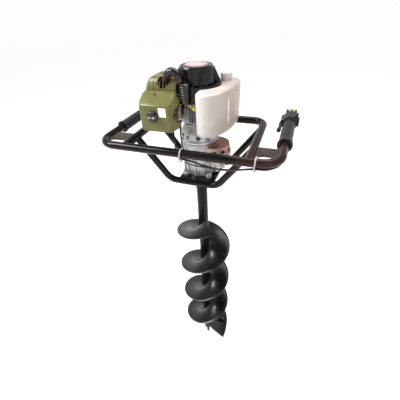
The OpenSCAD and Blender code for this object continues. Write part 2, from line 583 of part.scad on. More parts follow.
module cylinder_cover() color([0.49, 0.51, 0.27]) difference() {
    union() {
        cover_shape(0);
        translate([-122, -44, 1206]) cube([2.6, 84, 63]);
        translate([-122, -44, 1206]) cube([17, 2.6, 63]);
        translate([-122, 40, 1266]) cube([82, 2, 4]);
    }
    translate([0, 0, -0.2]) cover_shape(2.6);
    translate([-119.4, -41.4, 1200]) cube([60, 79, 80]);
    plug_axis(10) cylinder(r = 15.5, h = 90);
    for (i = [0:4]) translate([-106 + i * 11, -20, 1300]) cube([4, 36, 30]);
    translate([0, 0, 1290]) cylinder(r = 61, h = 60);
    translate([0, 0, 1260]) cylinder(r = 58.5, h = 40);
    translate([-27, -56.5, 1285]) cylinder(r = 10.5, h = 60);
}
module spark_plug() color([0.85, 0.85, 0.83]) {
    plug_axis(0) cylinder(r = 7, h = 18);
    plug_axis(18) cylinder(r = 10.5, h = 9, $fn = 6);
    plug_axis(27) cylinder(r = 5.5, h = 20);
    plug_axis(47) cylinder(r = 3, h = 6.5);
}
plug_dir = [sin(plug_tilt) * cos(plug_az), sin(plug_tilt) * sin(plug_az), cos(plug_tilt)];
boot_pts = [plug_p + 55 * plug_dir, plug_p + 66 * plug_dir, [-71, -44.5, 1309], [-66.5, -48, 1319], [-60.5, -51, 1328.5],
    [-51, -52.5, 1335], [-42, -53.5, 1335], [-34, -54.5, 1329], [-29, -55.5, 1320], [-27, -56.5, 1311]];
module plug_boot() color([0.06, 0.05, 0.06]) {
    difference() {
        plug_axis(32) cylinder(r = 11, h = 24);
        plug_axis(26) cylinder(r = 5.6, h = 22);
        plug_axis(40) cylinder(r = 3.1, h = 15.5);
    }
    cord(smooth(boot_pts, 3), 8.5, 12);
}
module muffler() color([0.2, 0.2, 0.2]) {
    difference() {
        translate([-100, 39, 1196]) cube([62, 44, 66]);
        translate([-98, 41, 1198]) cube([58, 40, 62]);
        translate([-56, 0, cyl_z]) rod_y(8, 30, 44);
        translate([-84, 60, 1190]) cylinder(r = 6, h = 12);
    }
    difference() {
        translate([-56, 0, cyl_z]) rod_y(13, 38.1, 39);
        translate([-56, 0, cyl_z]) rod_y(8, 30, 44);
    }
    translate([-84, 60, 1186]) pipe(6, 4.6, 11);
    for (x = [-94, -44]) translate([x, 83, 1208]) rotate([-90, 0, 0]) cylinder(r = 3.5, h = 3, $fn = 6);
}
module intake_block() color([0.1, 0.1, 0.1]) difference() {
    translate([-69, -46, 1224]) cube([28, 7.9, 32]);
    translate([-55, 0, cyl_z + 10]) rod_y(8, -60, -30);
}
module carburettor() color([0.75, 0.73, 0.68]) difference() {
    union() {
        translate([-67, -74, 1226]) cube([29, 27.9, 28]);
        translate([-55, -60, 1252]) cylinder(r = 10, h = 11);
        translate([0, -60, 1240]) rod_x(10, -40, -29);
        translate([0, -60, 1240]) rod_x(17, -29, -25);
        translate([0, -60, 1240]) rod_x(12, -25, -22);
        translate([-55, -60, 1262]) cylinder(r = 4, h = 5);
    }
    translate([-55, 0, cyl_z + 10]) rod_y(8, -80, -40);
}
module choke_lever() color([0.15, 0.15, 0.16]) translate([-22, -60, 1240]) {
    rotate([0, 90, 0]) cylinder(r = 3, h = 2.5);
    translate([0.3, -3, 0]) cube([2.2, 6, 16]);
    translate([0.3, 0, 16]) rotate([0, 90, 0]) cylinder(r = 4.5, h = 6);
}
module air_box_base() color([0.08, 0.08, 0.08]) difference() {
    union() {
        translate([-121, -78, 1205]) cube([100, 3.9, 84]);
        translate([-76, 0, 1247]) rod_y(5, -94, -77);
    }
    translate([-55, 0, cyl_z + 10]) rod_y(8, -90, -60);
    translate([-76, 0, 1247]) rod_y(2.55, -96, -80);
    translate([-39, -79, 1220]) cube([30, 6, 40]);
}
module air_filter() color([0.25, 0.25, 0.24]) difference() {
    translate([-110, -98, 1213]) cube([72, 19.9, 68]);
    translate([-76, 0, 1247]) rod_y(5.3, -110, -70);
    translate([-55, 0, cyl_z + 10]) rod_y(7.9, -93, -70);
}
module box_shape(e) hull() {
    translate([-126 + e, -78.2, 1203 + e]) cube([107 - 2 * e, 0.1, 90 - 2 * e]);
    translate([-126 + e, -88, 1203 + e]) cube([107 - 2 * e, 0.1, 88 - 2 * e]);
    translate([-113 + e, -116 + e, 1207 + e]) cube([80 - 2 * e, 0.1, 66 - 2 * e]);
}
module air_box_cover() color([0.49, 0.51, 0.27]) difference() {
    box_shape(0);
    translate([0, 0.3, 0]) box_shape(2.6);
    translate([-76, 0, 1247]) rod_y(4.05, -130, -100);
    translate([-34, -104, 1222]) cube([20, 40, 36]);
}
module cover_knob() color([0.09, 0.09, 0.1]) translate([-76, 0, 1247]) difference() {
    union() {
        rod_y(14, -128, -116.2);
        rod_y(3.95, -116.3, -94.2);
        rod_y(2.5, -94.3, -81);
    }
    for (a = [45:90:315]) rotate([0, a, 0]) translate([14, 0, 0]) rod_y(4, -129, -121);
}
tank_out = [[25, -70], [25, -86], [32, -100], [48, -107], [66, -101], [84, -82], [97, -52],
    [104, -14], [106, 26], [101, 58], [88, 80], [70, 88], [54, 82]];
function arc(r, a0, a1, n) = [for (i = [0:n]) let(a = a0 + (a1 - a0) * i / n) r * [cos(a), sin(a)]];
tank_line = concat(smooth(tank_out, 4), arc(62.5, 66, -69, 18));
module fuel_tank() color([0.93, 0.93, 0.9]) difference() {
    union() {
        translate([0, 0, 1300 - tank_h]) linear_extrude(height = tank_h) polygon(tank_line);
        translate([cap_p[0], cap_p[1], 1299]) cylinder(r = 14, h = 7);
    }
    translate([cap_p[0], cap_p[1], 1280]) cylinder(r = 11, h = 60);
    translate([0, 0, 1303 - tank_h]) linear_extrude(height = tank_h - 6) polygon(tank_in);
}
// Inner hollow: the outline drawn in towards the tank's middle line
tank_in = concat([for (p = smooth(tank_out, 4)) let(a = atan2(p[1], p[0]), r = norm(p))
    (r - 3.6) * [cos(max(-67, min(60, a))), sin(max(-67, min(60, a)))]], arc(66, 58, -64, 18));
module fuel_cap() color([0.88, 0.86, 0.84]) translate([cap_p[0], cap_p[1], 1306.3]) {
    difference() {
        cylinder(r = 15, h = 11);
        for (a = [0:30:330]) rotate([0, 0, a]) translate([16.2, 0, -1]) cylinder(r = 2.2, h = 14);
    }
    translate([0, 0, -14]) cylinder(r = 10.8, h = 14.1);
}
line_pts = [[22.3, -66.5, 1250], [10, -62, 1254], [0, -57, 1257], [-12, -54, 1258],
    [-26, -53, 1258], [-40, -50, 1256.3]];
module fuel_line() color([0.75, 0.68, 0.2]) cord(smooth(line_pts, 3), 2.2);
module starter_cover() color([0.07, 0.07, 0.08]) difference() {
    union() {
        translate([0, 0, 1304]) rotate_extrude() polygon([[0, 35], [35, 35], [35.5, 38.5], [41, 39],
            [43, 35], [44.5, 16], [46, 0], [43, 0], [41.5, 16], [40, 30], [0, 30]]);
        translate([0, 0, 1342.8]) rotate_extrude() polygon([[0, -4], [34.8, -4], [34.8, -1.5], [24, 2.2], [10, 4], [0, 4.4]]);
        translate([0, 0, 1297]) pipe(60, 52, 5);
        translate([0, 0, 1264]) pipe(58, 55, 33.1);
        translate([0, 0, 1262.1]) pipe(58, 16, 3);
        for (a = [22, 112, 202, 300]) rotate([0, 0, a]) rotate([90, 0, 0])
            linear_extrude(height = 7, center = true) polygon([[42, 1306], [42, 1340], [45, 1337],
                [62, 1302], [62, 1297], [52, 1297], [46, 1306]]);
        translate([0, 0, 1304]) cylinder(r = 6, h = 32);
        translate([-8, 0, 1309]) rod_y(6.5, -58, -38);
    }
    translate([-8, 0, 1309]) rod_y(3.2, -70, -30);
    rotate([0, 0, 180]) translate([40, -38, 1266]) cube([30, 76, 30.9]);
    rotate([0, 0, 128]) translate([50, -14, 1268]) cube([14, 28, 20]);
}
module starter_reel() color([0.3, 0.3, 0.32]) difference() {
    translate([0, 0, 1304.5]) rotate_extrude() polygon([[6.06, 0], [37, 0], [37, 2], [28, 2],
        [28, 8.5], [37, 8.5], [37, 10.5], [6.06, 10.5]]);
    translate([0, 0, 1303]) difference() {
        cylinder(r = 24, h = 5);
        translate([0, 0, -1]) cylinder(r = 12, h = 7);
    }
}
module starter_rope() color([0.85, 0.85, 0.82]) translate([0, 0, 1306.8]) pipe(35.5, 28.1, 5.9);
module starter_handle() color([0.05, 0.05, 0.05]) translate([-8, -70, 1262]) {
    rotate_extrude() polygon([[0, 0], [5.5, 0], [7, 3], [8, 24], [9.5, 44], [8.5, 49], [5, 51], [0, 51]]);
    translate([0, 0, 47]) rod_y(2, 0, 18);
}

handle_tube();
inner_loop_tube();
handle_braces();
cradle_tube_front();
cradle_tube_rear();
base_plate();
left_grip();
throttle_handle_upper();
throttle_handle_lower();
throttle_trigger();
trigger_lock();
stop_button();
handle_screws();
throttle_cable();
stop_switch_lead();
cable_ties();
gearbox_case();
gearbox_cover();
bearing_plate();
gearbox_bolts();
ball_bearings();
output_shaft();
output_gear();
coupling_pin();
auger_tube();
auger_flight();
cutting_blade();
blade_bolts();
pilot_point();
intermediate_gear();
clutch_drum();
clutch_shoes();
clutch_housing();
crankcase();
crankshaft();
crank_pin();
connecting_rod();
wrist_pin();
piston();
engine_cylinder();
flywheel_fan();
ignition_coil();
cylinder_cover();
spark_plug();
plug_boot();
muffler();
intake_block();
carburettor();
choke_lever();
air_box_base();
air_filter();
air_box_cover();
cover_knob();
fuel_tank();
fuel_cap();
fuel_line();
starter_cover();
starter_reel();
starter_rope();
starter_handle();
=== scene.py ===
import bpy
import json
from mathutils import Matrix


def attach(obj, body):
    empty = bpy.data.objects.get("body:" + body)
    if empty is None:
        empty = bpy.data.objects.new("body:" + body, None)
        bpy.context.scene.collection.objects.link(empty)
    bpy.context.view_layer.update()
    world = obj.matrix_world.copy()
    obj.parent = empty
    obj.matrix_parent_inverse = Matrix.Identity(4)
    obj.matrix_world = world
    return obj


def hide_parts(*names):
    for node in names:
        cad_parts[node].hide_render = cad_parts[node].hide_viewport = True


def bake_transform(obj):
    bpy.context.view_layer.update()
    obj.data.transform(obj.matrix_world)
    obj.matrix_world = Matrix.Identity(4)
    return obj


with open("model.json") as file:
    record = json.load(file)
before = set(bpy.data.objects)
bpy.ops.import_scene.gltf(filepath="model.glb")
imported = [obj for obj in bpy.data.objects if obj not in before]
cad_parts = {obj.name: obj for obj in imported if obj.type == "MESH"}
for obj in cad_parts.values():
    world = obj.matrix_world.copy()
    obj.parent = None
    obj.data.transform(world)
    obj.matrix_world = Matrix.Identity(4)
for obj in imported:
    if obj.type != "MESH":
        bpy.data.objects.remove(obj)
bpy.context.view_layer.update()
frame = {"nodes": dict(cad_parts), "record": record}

import bpy, bmesh, math, json
from mathutils import Vector, Matrix

S = bpy.context.scene
NODES = frame["nodes"]
MM = 0.001

# ---------------------------------------------------------------- materials
def srgb(r, g, b):
    f = lambda c: (c / 12.92) if c <= 0.04045 else ((c + 0.055) / 1.055) ** 2.4
    return (f(r / 255), f(g / 255), f(b / 255), 1.0)


def new_mat(name):
    m = bpy.data.materials.new(name)
    m.use_nodes = True
    nt = m.node_tree
    nt.nodes.clear()
    out = nt.nodes.new("ShaderNodeOutputMaterial")
    p = nt.nodes.new("ShaderNodeBsdfPrincipled")
    nt.links.new(p.outputs["BSDF"], out.inputs["Surface"])
    return m, nt, p


def surface(name, a, b, rough=0.4, rvar=0.1, metal=0.0, scale=60.0, fine=900.0,
            bump=0.15, dist=0.0003, coat=0.0, coat_rough=0.08, spec=0.5, ior=1.5,
            painted_underside_light=None, painted_underside_light_amt=0.0, painted_side_light=None, stretch=None, dirt=None, dirt_amt=0.0, sss=0.0,
            trans=0.0, sheen=0.0):
    """Two-tone noise colour with optional painted light and dirt, noise roughness and a bump from the fine noise."""
    m, nt, p = new_mat(name)
    N, L = nt.nodes, nt.links
    tc = N.new("ShaderNodeTexCoord")
    src = tc.outputs["Object"]
    if stretch:
        mp = N.new("ShaderNodeMapping")
        mp.inputs["Scale"].default_value = stretch
        L.new(src, mp.inputs["Vector"])
        src = mp.outputs["Vector"]
    n1 = N.new("ShaderNodeTexNoise")
    n1.inputs["Scale"].default_value = scale
    n1.inputs["Detail"].default_value = 5.0
    n1.inputs["Roughness"].default_value = 0.6
    L.new(src, n1.inputs["Vector"])
    n2 = N.new("ShaderNodeTexNoise")
    n2.inputs["Scale"].default_value = fine
    n2.inputs["Detail"].default_value = 3.0
    L.new(src, n2.inputs["Vector"])
    ramp = N.new("ShaderNodeValToRGB")
    ramp.color_ramp.elements[0].position = 0.32
    ramp.color_ramp.elements[0].color = a
    ramp.color_ramp.elements[1].position = 0.68
    ramp.color_ramp.elements[1].color = b
    L.new(n1.outputs["Fac"], ramp.inputs["Fac"])
    col = ramp.outputs["Color"]
    # painted light: faces turned downwards are mixed towards the given colour, painting shade (dark colours) and
    # reflection (brown and red colours) by face direction
    if painted_underside_light is not None:
        geo = N.new("ShaderNodeNewGeometry")
        sep = N.new("ShaderNodeSeparateXYZ")
        L.new(geo.outputs["Normal"], sep.inputs["Vector"])
        mr = N.new("ShaderNodeMapRange")
        mr.inputs["From Min"].default_value = 0.35
        mr.inputs["From Max"].default_value = -0.55
        mr.inputs["To Min"].default_value = 0.0
        mr.inputs["To Max"].default_value = painted_underside_light_amt
        L.new(sep.outputs["Z"], mr.inputs["Value"])
        mx = N.new("ShaderNodeMixRGB")
        L.new(mr.outputs["Result"], mx.inputs["Fac"])
        L.new(col, mx.inputs["Color1"])
        mx.inputs["Color2"].default_value = painted_underside_light
        col = mx.outputs["Color"]
    # painted light: a smooth blend along one object axis towards the given colour paints shade, highlight and
    # reflection on one side of a part
    if painted_side_light is not None:
        axis, g0, g1, side_light_col, side_light_amt = painted_side_light
        sp = N.new("ShaderNodeSeparateXYZ")
        L.new(tc.outputs["Object"], sp.inputs["Vector"])
        ng = N.new("ShaderNodeTexNoise")
        ng.inputs["Scale"].default_value = 22.0
        L.new(tc.outputs["Object"], ng.inputs["Vector"])
        wob = N.new("ShaderNodeMath")
        wob.operation = "MULTIPLY_ADD"
        wob.inputs[1].default_value = 0.03
        L.new(ng.outputs["Fac"], wob.inputs[0])
        L.new(sp.outputs[axis], wob.inputs[2])
        mg = N.new("ShaderNodeMapRange")
        mg.interpolation_type = "SMOOTHSTEP"
        mg.inputs["From Min"].default_value = g0 + 0.015
        mg.inputs["From Max"].default_value = g1 + 0.015
        mg.inputs["To Max"].default_value = side_light_amt
        L.new(wob.outputs["Value"], mg.inputs["Value"])
        mx = N.new("ShaderNodeMixRGB")
        L.new(mg.outputs["Result"], mx.inputs["Fac"])
        L.new(col, mx.inputs["Color1"])
        mx.inputs["Color2"].default_value = side_light_col
        col = mx.outputs["Color"]
    if dirt is not None:
        n3 = N.new("ShaderNodeTexNoise")
        n3.inputs["Scale"].default_value = scale * 0.35
        n3.inputs["Detail"].default_value = 6.0
        L.new(tc.outputs["Object"], n3.inputs["Vector"])
        mr3 = N.new("ShaderNodeMapRange")
        mr3.inputs["From Min"].default_value = 0.5
        mr3.inputs["From Max"].default_value = 0.75
        mr3.inputs["To Max"].default_value = dirt_amt
        L.new(n3.outputs["Fac"], mr3.inputs["Value"])
        mx = N.new("ShaderNodeMixRGB")
        L.new(mr3.outputs["Result"], mx.inputs["Fac"])
        L.new(col, mx.inputs["Color1"])
        mx.inputs["Color2"].default_value = dirt
        col = mx.outputs["Color"]
    L.new(col, p.inputs["Base Color"])
    r = N.new("ShaderNodeMapRange")
    r.inputs["From Min"].default_value = 0.3
    r.inputs["From Max"].default_value = 0.7
    r.inputs["To Min"].default_value = max(0.02, rough - rvar)
    r.inputs["To Max"].default_value = min(1.0, rough + rvar)
    L.new(n1.outputs["Fac"], r.inputs["Value"])
    L.new(r.outputs["Result"], p.inputs["Roughness"])
    b1 = N.new("ShaderNodeBump")
    b1.inputs["Strength"].default_value = bump
    b1.inputs["Distance"].default_value = dist
    L.new(n2.outputs["Fac"], b1.inputs["Height"])
    L.new(b1.outputs["Normal"], p.inputs["Normal"])
    p.inputs["Metallic"].default_value = metal
    p.inputs["IOR"].default_value = ior
    p.inputs["Specular IOR Level"].default_value = spec
    if coat:
        p.inputs["Coat Weight"].default_value = coat
        p.inputs["Coat Roughness"].default_value = coat_rough
    if sss:
        p.inputs["Subsurface Weight"].default_value = sss
        p.inputs["Subsurface Radius"].default_value = (0.012, 0.010, 0.008)
    if trans:
        p.inputs["Transmission Weight"].default_value = trans
    if sheen:
        p.inputs["Sheen Weight"].default_value = sheen
        p.inputs["Sheen Roughness"].default_value = 0.5
    return m


# brown of the painted reflections; no material below uses it
REFLECTION_BROWN = srgb(92, 58, 42)
M = {}
# frame paint: gloss black; the brown on faces turned downwards and the brown blend towards +X on the right-hand tubes
# are painted reflection
M["frame_paint"] = surface("frame_paint", srgb(8, 8, 9), srgb(16, 14, 14), 0.2, 0.05, scale=25, fine=350,
                           bump=0.10, dist=0.0004, coat=0.08, coat_rough=0.06, spec=0.15, painted_underside_light=srgb(66, 38, 28),
                           painted_underside_light_amt=0.5, painted_side_light=(0, 0.12, 0.17, srgb(60, 36, 28), 0.45))
# brace paint: the black frame paint drawn in brown all over, a painted brown reflection
M["brace_painted_reflection"] = surface("brace_painted_reflection", srgb(30, 18, 14), srgb(62, 38, 28), 0.24, 0.06, scale=18, fine=350, bump=0.1,
                           dist=0.0004, coat=0.3, coat_rough=0.08)
M["grip_rubber"] = surface("grip_rubber", srgb(16, 15, 15), srgb(32, 28, 27), 0.5, 0.1, spec=0.3, fine=1400, bump=0.4, dist=0.0004)
# handle plastic: faces turned downwards are painted darker, a painted shade
M["handle_plastic"] = surface("handle_plastic", srgb(16, 14, 14), srgb(34, 26, 25), 0.42, 0.08, fine=1800, bump=0.3,
                              dist=0.0003, spec=0.3, painted_underside_light=srgb(10, 8, 7), painted_underside_light_amt=0.6)
M["zinc_steel"] = surface("zinc_steel", srgb(150, 150, 150), srgb(196, 196, 192), 0.32, 0.1, metal=1.0, scale=200)
M["cable_black"] = surface("cable_black", srgb(12, 12, 13), srgb(26, 25, 26), 0.35, 0.08, scale=90, fine=2500, bump=0.2)
M["tie_nylon"] = surface("tie_nylon", srgb(150, 149, 148), srgb(176, 175, 174), 0.45, 0.06, fine=1500, sss=0.1, spec=0.3)
M["cast_alloy"] = surface("cast_alloy", srgb(168, 166, 168), srgb(212, 210, 212), 0.36, 0.1, metal=0.7, scale=45,
                          fine=1100, bump=0.55, dist=0.0005, dirt=srgb(84, 74, 70), dirt_amt=0.4)
# cast alloy for the gearbox cover: the warm brown blend towards +X is painted reflection; the dirt blotches are random
M["cast_alloy_painted_reflection"] = surface("cast_alloy_painted_reflection", srgb(142, 140, 142), srgb(186, 184, 186), 0.34, 0.1, metal=0.9, scale=45,
                         fine=1100, bump=0.5, dist=0.0005, dirt=srgb(84, 74, 70), dirt_amt=0.35,
                         painted_side_light=(0, 0.02, 0.055, srgb(164, 122, 102), 0.85))
M["bearing_steel"] = surface("bearing_steel", srgb(170, 170, 172), srgb(206, 206, 208), 0.2, 0.05, metal=1.0, scale=300)
M["cylinder_alloy"] = surface("cylinder_alloy", srgb(120, 118, 116), srgb(168, 166, 164), 0.45, 0.1, metal=0.8, scale=60,
                              fine=1200, bump=0.5, dist=0.0005, dirt=srgb(70, 62, 56), dirt_amt=0.4)
M["coil_black"] = surface("coil_black", srgb(16, 16, 18), srgb(30, 30, 32), 0.3, 0.08, fine=1200)
M["olive_plastic"] = surface("olive_plastic", srgb(92, 91, 43), srgb(105, 103, 52), 0.36, 0.06, spec=0.36, scale=30, fine=1500,
                             bump=0.25, dist=0.0003, coat=0.15, coat_rough=0.25)
M["plug_ceramic"] = surface("plug_ceramic", srgb(222, 220, 214), srgb(240, 238, 232), 0.15, 0.05, scale=80, coat=0.5)
# boot rubber: black, with a dark red painted reflection on faces turned downwards
M["boot_rubber"] = surface("boot_rubber", srgb(8, 8, 12), srgb(20, 16, 20), 0.22, 0.06, scale=60, fine=700, bump=0.15,
                           coat=0.3, spec=0.35, coat_rough=0.12, painted_underside_light=srgb(96, 30, 22), painted_underside_light_amt=0.35)
M["muffler_steel"] = surface("muffler_steel", srgb(40, 38, 38), srgb(66, 62, 60), 0.5, 0.12, metal=0.6, scale=90,
                             fine=900, bump=0.4, dist=0.0005, dirt=srgb(88, 60, 44), dirt_amt=0.4)
# black plastic: faces turned downwards get a brown painted reflection
M["black_plastic"] = surface("black_plastic", srgb(8, 9, 10), srgb(20, 21, 22), 0.24, 0.07, fine=1400, bump=0.2, spec=0.32,
                             painted_underside_light=srgb(48, 30, 26), painted_underside_light_amt=0.3)
M["carb_metal"] = surface("carb_metal", srgb(150, 140, 118), srgb(196, 186, 160), 0.35, 0.1, metal=0.9, scale=110,
                          fine=1100, bump=0.4, dirt=srgb(90, 70, 46), dirt_amt=0.4)
M["filter_foam"] = surface("filter_foam", srgb(40, 40, 36), srgb(74, 72, 66), 0.9, 0.05, scale=500, fine=1500, bump=1.0, dist=0.001)
# tank plastic: the darker warm-brown blend towards +X is painted shade; the dirt blotches are random tone
M["tank_plastic"] = surface("tank_plastic", srgb(198, 193, 189), srgb(209, 204, 200), 0.3, 0.06, scale=14, fine=1300,
                            bump=0.12, dist=0.0003, sss=0.25, dirt=srgb(188, 172, 160), dirt_amt=0.08,
                            painted_side_light=(0, 0.05, 0.112, srgb(172, 146, 130), 0.7))
M["fuel_hose"] = surface("fuel_hose", srgb(196, 178, 40), srgb(218, 200, 66), 0.3, 0.08, scale=120, sss=0.2, coat=0.3)
M["gear_steel"] = surface("gear_steel", srgb(128, 128, 130), srgb(172, 172, 174), 0.28, 0.08, metal=1.0, scale=160)
# bit paint: faces turned downwards are painted darker, a painted shade; the dirt blotches are random
M["bit_paint"] = surface("bit_paint", srgb(9, 9, 12), srgb(20, 20, 25), 0.27, 0.07, scale=28, fine=520, bump=0.25,
                         dist=0.0005, coat=0.05, coat_rough=0.1, spec=0.12, painted_underside_light=srgb(6, 6, 9), painted_underside_light_amt=0.7,
                         dirt=srgb(40, 34, 32), dirt_amt=0.2)
# flight paint: faces turned downwards are painted darker (painted shade), and the lighter grey blend towards -X is a
# painted highlight on the left-hand lobes; the dirt blotches are random
M["flight_paint"] = surface("flight_paint", srgb(7, 7, 10), srgb(16, 16, 21), 0.27, 0.07, scale=28, fine=520, bump=0.25,
                            dist=0.0005, coat=0.12, coat_rough=0.12, spec=0.34, painted_underside_light=srgb(6, 6, 9), painted_underside_light_amt=0.5,
                            painted_side_light=(0, 0.01, -0.035, srgb(49, 49, 55), 0.85), dirt=srgb(40, 34, 32), dirt_amt=0.15)
M["blade_steel"] = surface("blade_steel", srgb(10, 9, 10), srgb(24, 22, 22), 0.34, 0.12, spec=0.22, scale=50, fine=800,
                           bump=0.35, dirt=srgb(70, 50, 38), dirt_amt=0.25)
M["bolt_dark"] = surface("bolt_dark", srgb(40, 38, 38), srgb(70, 66, 64), 0.35, 0.1, metal=0.7, scale=200)
M["shoe_metal"] = surface("shoe_metal", srgb(110, 100, 90), srgb(144, 134, 122), 0.6, 0.1, metal=0.6, scale=200, bump=0.5)
M["button_green"] = surface("button_green", srgb(168, 178, 44), srgb(190, 198, 66), 0.3, 0.06, fine=1500, coat=0.3)
M["knob_plastic"] = surface("knob_plastic", srgb(26, 26, 28), srgb(52, 50, 52), 0.28, 0.08, fine=1500, bump=0.2)
M["cap_plastic"] = surface("cap_plastic", srgb(196, 184, 180), srgb(218, 208, 204), 0.42, 0.06, fine=1500, sss=0.15)
M["reel_plastic"] = surface("reel_plastic", srgb(60, 60, 62), srgb(84, 84, 86), 0.5, 0.08)
M["rope_nylon"] = surface("rope_nylon", srgb(206, 202, 190), srgb(232, 228, 216), 0.8, 0.06, scale=900, fine=2200, bump=1.0,
                          dist=0.0008, sheen=0.4)
M["pull_plastic"] = surface("pull_plastic", srgb(8, 8, 9), srgb(20, 20, 22), 0.2, 0.06, scale=60, fine=1300, bump=0.12, coat=0.3)
M["disc_grey"] = surface("disc_grey", srgb(172, 146, 146), srgb(204, 178, 178), 0.3, 0.05, spec=0.35, scale=40, fine=1400, bump=0.12, coat=0.3)
M["sticker"] = surface("sticker", srgb(228, 228, 222), srgb(240, 240, 236), 0.3, 0.05, scale=60, fine=1600, bump=0.08, coat=0.4)
# lighter copy of the tank plastic for the bead, a painted highlight
M["bead_painted_highlight"] = surface("bead_painted_highlight", srgb(232, 222, 212), srgb(240, 232, 224), 0.28, 0.05, scale=60, fine=1400,
                          bump=0.1, sss=0.2)
# near-black material for painted shade in the rib gaps
M["painted_gap_shade"] = surface("painted_gap_shade", srgb(24, 24, 20), srgb(40, 40, 34), 0.5, 0.1)
M["rim_bright"] = surface("rim_bright", srgb(196, 190, 184), srgb(226, 222, 218), 0.25, 0.08, metal=0.35, scale=120, fine=1200, bump=0.2)
M["disc_edge"] = surface("disc_edge", srgb(74, 58, 64), srgb(104, 86, 92), 0.3, 0.06, scale=60, fine=1400, bump=0.12, spec=0.3)
M["weld"] = surface("weld", srgb(12, 11, 12), srgb(30, 27, 27), 0.35, 0.1, metal=0.3, scale=400, fine=1600, bump=0.9, dist=0.0012)
M["ground_edge"] = surface("ground_edge", srgb(150, 150, 152), srgb(190, 190, 192), 0.25, 0.08, metal=1.0, stretch=(1, 1, 12), scale=120)

for sp in frame["record"]["subparts"]:
    o = NODES[sp["node"]]
    o.data.materials.clear()
    o.data.materials.append(M[sp["material_slot"]])

# ---------------------------------------------------------------- mesh helpers
BODY = {n: b for b, ns in frame["record"]["behaviour"]["bodies"].items() for n in ns}
SLOT = {s["node"]: s["material_slot"] for s in frame["record"]["subparts"]}


def obj_from(name, verts, faces, mat, body, smooth=True):
    me = bpy.data.meshes.new(name)
    me.from_pydata([tuple(v) for v in verts], [], faces)
    me.validate()
    o = bpy.data.objects.new(name, me)
    S.collection.objects.link(o)
    me.materials.append(M[mat])
    if smooth:
        for p in me.polygons:
            p.use_smooth = True
    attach(o, body)
    return o


def apply_mods(o):
    dg = bpy.context.evaluated_depsgraph_get()
    dg.update()
    me = bpy.data.meshes.new_from_object(o.evaluated_get(dg), depsgraph=dg)
    o.modifiers.clear()
    old = o.data
    o.data = me
    bpy.data.meshes.remove(old)
    return o


def angle_smooth(o, deg=35):
    me = o.data
    bm = bmesh.new()
    bm.from_mesh(me)
    lim = math.radians(deg)
    for f in bm.faces:
        f.smooth = True
    for e in bm.edges:
        if len(e.link_faces) == 2:
            e.smooth = e.calc_face_angle(0.0) < lim
        else:
            e.smooth = False
    bm.to_mesh(me)
    bm.free()


def soften(name, nodes, voxel, iters=6, factor=0.5, mat=None, extra=None, body=None):
    """Copy of CAD nodes, remeshed and relaxed so that edges get cast or moulded radii."""
    bm = bmesh.new()
    for n in nodes:
        bm.from_mesh(NODES[n].data)
    me = bpy.data.meshes.new(name)
    bm.to_mesh(me)
    bm.free()
    o = bpy.data.objects.new(name, me)
    S.collection.objects.link(o)
    r = o.modifiers.new("r", "REMESH")
    r.mode = "VOXEL"
    r.voxel_size = voxel
    r.use_smooth_shade = True
    s = o.modifiers.new("s", "SMOOTH")
    s.iterations = iters
    s.factor = factor
    apply_mods(o)
    o.data.materials.clear()
    o.data.materials.append(M[mat or SLOT[nodes[0]]])
    for p in o.data.polygons:
        p.use_smooth = True
        p.material_index = 0
    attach(o, body or BODY[nodes[0]])
    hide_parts(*nodes)
    return o


def catmull(pts, n):
    out = []
    k = len(pts)
    for i in range(k - 1):
        a, b, c, d = (Vector(pts[max(i - 1, 0)]), Vector(pts[i]), Vector(pts[i + 1]), Vector(pts[min(i + 2, k - 1)]))
        for j in range(n):
            t = j / n
            out.append(0.5 * ((2 * b) + (c - a) * t + (2 * a - 5 * b + 4 * c - d) * t * t + (3 * b - a - 3 * c + d) * t ** 3))
    out.append(Vector(pts[-1]))
    return out


def sweep(name, pts, radius, mat, body, m=20, rad=None, caps=True):
    """Tube along points in metres; rad(i, n) may scale the radius."""
    n = len(pts)
    tans = [(pts[min(i + 1, n - 1)] - pts[max(i - 1, 0)]).normalized() for i in range(n)]
    a = tans[0].orthogonal().normalized()
    vs, fs = [], []
    for i in range(n):
        a = (a - tans[i] * a.dot(tans[i])).normalized()
        b = tans[i].cross(a)
        r = radius * (rad(i, n) if rad else 1.0)
        for j in range(m):
            t = 2 * math.pi * j / m
            vs.append(pts[i] + (a * math.cos(t) + b * math.sin(t)) * r)
    for i in range(n - 1):
        for j in range(m):
            fs.append((i * m + j, i * m + (j + 1) % m, (i + 1) * m + (j + 1) % m, (i + 1) * m + j))
    if caps:
        fs.append(tuple(range(m - 1, -1, -1)))
        fs.append(tuple((n - 1) * m + j for j in range(m)))
    o = obj_from(name, vs, fs, mat, body)
    angle_smooth(o, 50)
    return o


def revolve(name, prof, origin, axis, mat, body, n=96, closed=False, sharp=35):
    """Profile of (radius, height) turned about an axis through origin."""
    ax = Vector(axis).normalized()
    u = ax.orthogonal().normalized()
    w = ax.cross(u)
    o0 = Vector(origin)
    vs, fs = [], []
    k = len(prof)
    for (r, h) in prof:
        for j in range(n):
            t = 2 * math.pi * j / n
            vs.append(o0 + ax * h + (u * math.cos(t) + w * math.sin(t)) * max(r, 1e-6))
    rng = k if closed else k - 1
    for i in range(rng):
        i2 = (i + 1) % k
        for j in range(n):
            fs.append((i * n + j, i * n + (j + 1) % n, i2 * n + (j + 1) % n, i2 * n + j))
    o = obj_from(name, vs, fs, mat, body)
    bm = bmesh.new()
    bm.from_mesh(o.data)
    bmesh.ops.remove_doubles(bm, verts=bm.verts, dist=1e-5)
    bmesh.ops.recalc_face_normals(bm, faces=bm.faces)
    bm.to_mesh(o.data)
    bm.free()
    angle_smooth(o, sharp)
    return o


